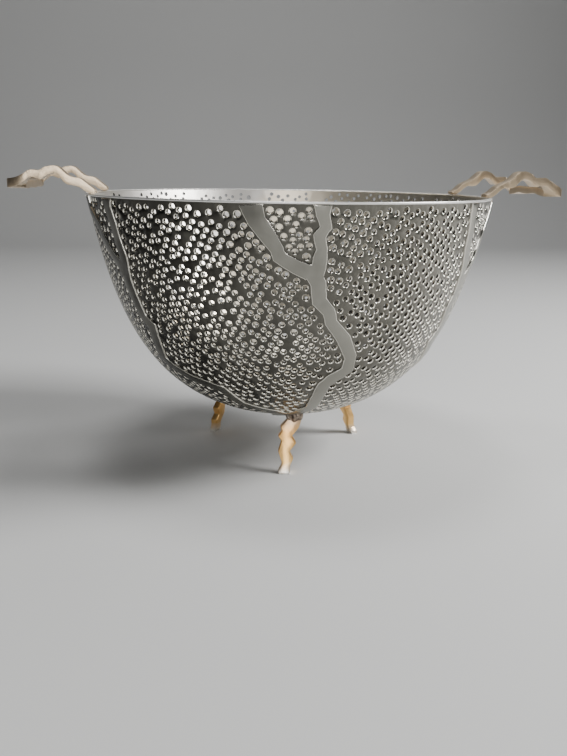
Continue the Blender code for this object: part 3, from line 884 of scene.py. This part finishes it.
def handle_stations(waves):
    """Stations of a whole loop: (centre x, centre y, underside, top), in metres."""
    arm_y = HANDLE_SPACING / 2.0
    leg_x = math.sqrt(RIM_RADIUS ** 2 - arm_y ** 2)
    cross_x = RIM_RADIUS + HANDLE_REACH - HANDLE_WIDTH / 2.0
    arm_end = cross_x - HANDLE_CORNER
    half = [(leg_x + reach * MM, -arm_y, low * MM, high * MM) for reach, low, high in waves["arm"]]
    for step, (low, high) in enumerate(waves["corner"], start=1):
        turn = math.pi / 2.0 * step / len(waves["corner"])
        x = arm_end + HANDLE_CORNER * math.sin(turn)
        half.append((x, HANDLE_CORNER - arm_y - HANDLE_CORNER * math.cos(turn), low * MM, high * MM))
    straight = arm_y - HANDLE_CORNER
    spacing = straight / (len(waves["cross"]) + 0.5)
    for step, (low, high) in enumerate(waves["cross"], start=1):
        half.append((cross_x, step * spacing - straight, low * MM, high * MM))
    return half + [(x, -y, low, high) for x, y, low, high in reversed(half)]


def smooth_run(stations, steps):
    """Points of a smooth curve that passes through every station."""
    rows = [stations[0], *stations, stations[-1]]
    run = []
    for a, b, c, d in zip(rows, rows[1:], rows[2:], rows[3:]):
        for step in range(steps):
            t = step / steps
            point = []
            for p, q, r, s in zip(a, b, c, d):
                bend = (2 * p - 5 * q + 4 * r - s) * t ** 2
                twist = (3 * q - p - 3 * r + s) * t ** 3
                point.append(0.5 * (2 * q + (r - p) * t + bend + twist))
            run.append(point)
    run.append(list(stations[-1]))
    return run


def make_handle(waves, turn):
    """Closed bar through all stations, with rounded long edges."""
    bm = bmesh.new()
    run = smooth_run(handle_stations(waves), HANDLE_STEPS)
    sections = []
    for index, (x, y, low, high) in enumerate(run):
        before, after = run[max(index - 1, 0)], run[min(index + 1, len(run) - 1)]
        along = Vector((after[0] - before[0], after[1] - before[1])).normalized()
        across = Vector((along.y, -along.x)) * HANDLE_WIDTH / 2.0
        bottom, top = RIM_HEIGHT + HANDLE_LIFT + low, RIM_HEIGHT + HANDLE_LIFT + high
        corners = [
            (x - across.x, y - across.y, bottom), (x + across.x, y + across.y, bottom),
            (x + across.x, y + across.y, top), (x - across.x, y - across.y, top),
        ]
        sections.append([bm.verts.new(corner) for corner in corners])
    for section_a, section_b in zip(sections, sections[1:]):
        for step in range(4):
            after = (step + 1) % 4
            bm.faces.new([section_a[step], section_b[step], section_b[after], section_a[after]])
    ends = [bm.faces.new(sections[0]), bm.faces.new(sections[-1][::-1])]
    bmesh.ops.recalc_face_normals(bm, faces=bm.faces)
    long_edges = [edge for edge in bm.edges if edge.calc_face_angle(0.0) > LONG_EDGE_TURN]
    long_edges += [edge for face in ends for edge in face.edges if edge not in long_edges]
    bmesh.ops.bevel(
        bm, geom=long_edges, offset=HANDLE_EDGE, offset_type="OFFSET", segments=3, profile=0.5,
        affect="EDGES", clamp_overlap=True, material=-1,
    )
    bmesh.ops.rotate(bm, verts=bm.verts, cent=(0, 0, 0), matrix=Matrix.Rotation(turn, 3, "Z"))
    return bm


bar_metal = Finish("bar_metal", Metallic=1.0)
bar_cloud = bar_metal.noise(60.0, 3.0)
bar_metal.set(bar_metal.shader.inputs["Base Color"], bar_metal.ramp(bar_cloud, [
    (0.30, (0.57, 0.44, 0.29, 1.0)),
    (0.70, (0.73, 0.59, 0.42, 1.0)),
]))
bar_metal.set(bar_metal.shader.inputs["Roughness"], 0.26 + bar_cloud * 0.14)
bar_metal.bump(bar_metal.noise(300.0, 3.0), 0.0002)

for name, turn in (("handle_right", 0.0), ("handle_left", math.pi)):
    handle = add_piece(name.replace("handle", "loop"), make_handle(HANDLE_WAVES[name], turn), bar_metal)
    smooth(handle, HANDLE_SHARP)
    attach(handle, "root")
    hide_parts(name)


# Feet.
# Three flat steel bars with torn-looking edges, splayed a little and welded to the pads. Their gold
# is partly painted light, brightened for the light that they reflect, and runs from pale at the toe
# to dark brown at the top.
FOOT_THICKNESS = 0.0053
FOOT_EDGE = 0.0007
FOOT_SINK = 0.0004
JAG_ROUND = 0.0004
WELD_LUMP = (0.0042, 0.0054, 0.0048)
WELD_SHIFT = 0.0052
WELD_SINK = 0.0008
LUMP_DETAIL = 4
TOE_HEIGHT = 0.001
PAD_SHARE = 0.97
OUTLINE_TURN = 1.2
FOOT_SHARP = 35.0
# One foot's outline in mm, bottom to top: (height share, left edge, right edge), seen from outside.
FOOT_OUTLINE = [
    (0.00, -5.4, 2.4), (0.05, -5.8, 2.4), (0.14, -3.7, 2.4), (0.20, -3.4, 3.5), (0.26, -4.3, 4.6),
    (0.38, -5.9, 1.9), (0.52, -4.2, 6.5), (0.56, -3.7, 5.6), (0.64, -6.0, 3.5), (0.72, -3.6, 6.2),
    (0.80, -4.6, 8.6), (0.91, -0.4, 10.0), (1.00, 0.6, 10.8),
]


def make_foot(name):
    """Jagged bar with rounded edges, its top fitted to the pad, and a lump of weld at its top."""
    azimuth, tip_radius = math.radians(FOOT_AZIMUTHS[name]), FOOT_TIP_RADII[name]
    top = wall.at(pad_arcs[name])[1]
    half = FOOT_THICKNESS / 2.0 / math.cos(FOOT_SPLAY)
    bm = bmesh.new()
    edge = [(left * MM, share * top) for share, left, _ in FOOT_OUTLINE]
    edge += [(right * MM, share * top) for share, _, right in reversed(FOOT_OUTLINE)]
    plate = bm.faces.new([bm.verts.new((-half, across, height)) for across, height in edge])
    grown = bmesh.ops.extrude_face_region(bm, geom=[plate], use_keep_orig=True)["geom"]
    far_side = [item for item in grown if isinstance(item, bmesh.types.BMVert)]
    bmesh.ops.translate(bm, vec=(2.0 * half, 0, 0), verts=far_side)
    bmesh.ops.recalc_face_normals(bm, faces=bm.faces)
    cross_edges = [e for e in bm.edges if abs(e.verts[0].co.x - e.verts[1].co.x) > half]
    cross_edges = [e for e in cross_edges if TOE_HEIGHT < e.verts[0].co.z < PAD_SHARE * top]
    bmesh.ops.bevel(
        bm, geom=cross_edges, offset=JAG_ROUND, offset_type="OFFSET", segments=2, profile=0.5,
        affect="EDGES", clamp_overlap=True, material=-1,
    )
    outline_edges = [
        e for e in bm.edges
        if e.calc_face_angle(0.0) > OUTLINE_TURN and abs(e.verts[0].co.x - e.verts[1].co.x) < half
    ]
    bmesh.ops.bevel(
        bm, geom=outline_edges, offset=FOOT_EDGE, offset_type="OFFSET", segments=2, profile=0.5,
        affect="EDGES", clamp_overlap=True, material=-1,
    )
    for vert in bm.verts:
        vert.co.x += tip_radius - vert.co.z * math.tan(FOOT_SPLAY)
        if vert.co.z > PAD_SHARE * top:
            arc = wall.arc_at_radius(vert.co.xy.length)
            vert.co.z = wall.at(arc, SEAM_RISE)[1] + FOOT_SINK
    radius = tip_radius - top * math.tan(FOOT_SPLAY)
    lump = bmesh.ops.create_icosphere(bm, subdivisions=LUMP_DETAIL, radius=1.0)["verts"]
    for vert in lump:
        swell = 1.0 + 0.10 * math.sin(7.0 * vert.co.y + 2.0)
        swell += 0.07 * math.sin(9.0 * vert.co.x + 5.0 * vert.co.z)
        vert.co = Vector((
            radius + half + vert.co.x * WELD_LUMP[0] * swell,
            WELD_SHIFT + vert.co.y * WELD_LUMP[1] * swell,
            top + vert.co.z * WELD_LUMP[2] * swell,
        ))
        skin = wall.at(wall.arc_at_radius(vert.co.xy.length), SEAM_RISE)[1]
        vert.co.z = min(vert.co.z, skin + WELD_SINK)
    for face in bm.faces:
        if all(vert in lump for vert in face.verts):
            face.material_index = 1
    bmesh.ops.rotate(bm, verts=bm.verts, cent=(0, 0, 0), matrix=Matrix.Rotation(azimuth, 3, "Z"))
    return bm


# The feet's gold is partly painted light, brightened for the light that they reflect; it runs by height from
# pale at the toe to dark brown at the top.
foot_metal = Finish("foot_metal", Metallic=1.0, Roughness=0.34)
tone_by_height = foot_metal.along("Z") * 24.0 + foot_metal.noise(140.0, 3.0) * 0.12
foot_metal.set(foot_metal.shader.inputs["Base Color"], foot_metal.ramp(tone_by_height, [
    (0.06, (0.97, 0.94, 0.88, 1.0)),
    (0.26, (0.99, 0.63, 0.24, 1.0)),
    (0.72, (0.97, 0.55, 0.19, 1.0)),
    (0.93, (0.62, 0.46, 0.32, 1.0)),
    (1.00, (0.16, 0.12, 0.10, 1.0)),
]))
foot_metal.bump(foot_metal.noise(260.0, 3.0), 0.0002)
weld_metal = Finish("weld_metal", Metallic=1.0, Roughness=0.36)
scorch = weld_metal.noise(330.0, 4.0)
weld_metal.set(weld_metal.shader.inputs["Base Color"], weld_metal.ramp(scorch, [
    (0.35, (0.10, 0.075, 0.06, 1.0)),
    (0.55, (0.36, 0.29, 0.23, 1.0)),
    (0.72, (0.68, 0.64, 0.58, 1.0)),
]))
weld_metal.bump(scorch, 0.0008)
for name in FOOT_AZIMUTHS:
    foot = add_piece(name.replace("foot", "leg"), make_foot(name), foot_metal, weld_metal)
    smooth(foot, FOOT_SHARP)
    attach(foot, "root")
    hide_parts(name)
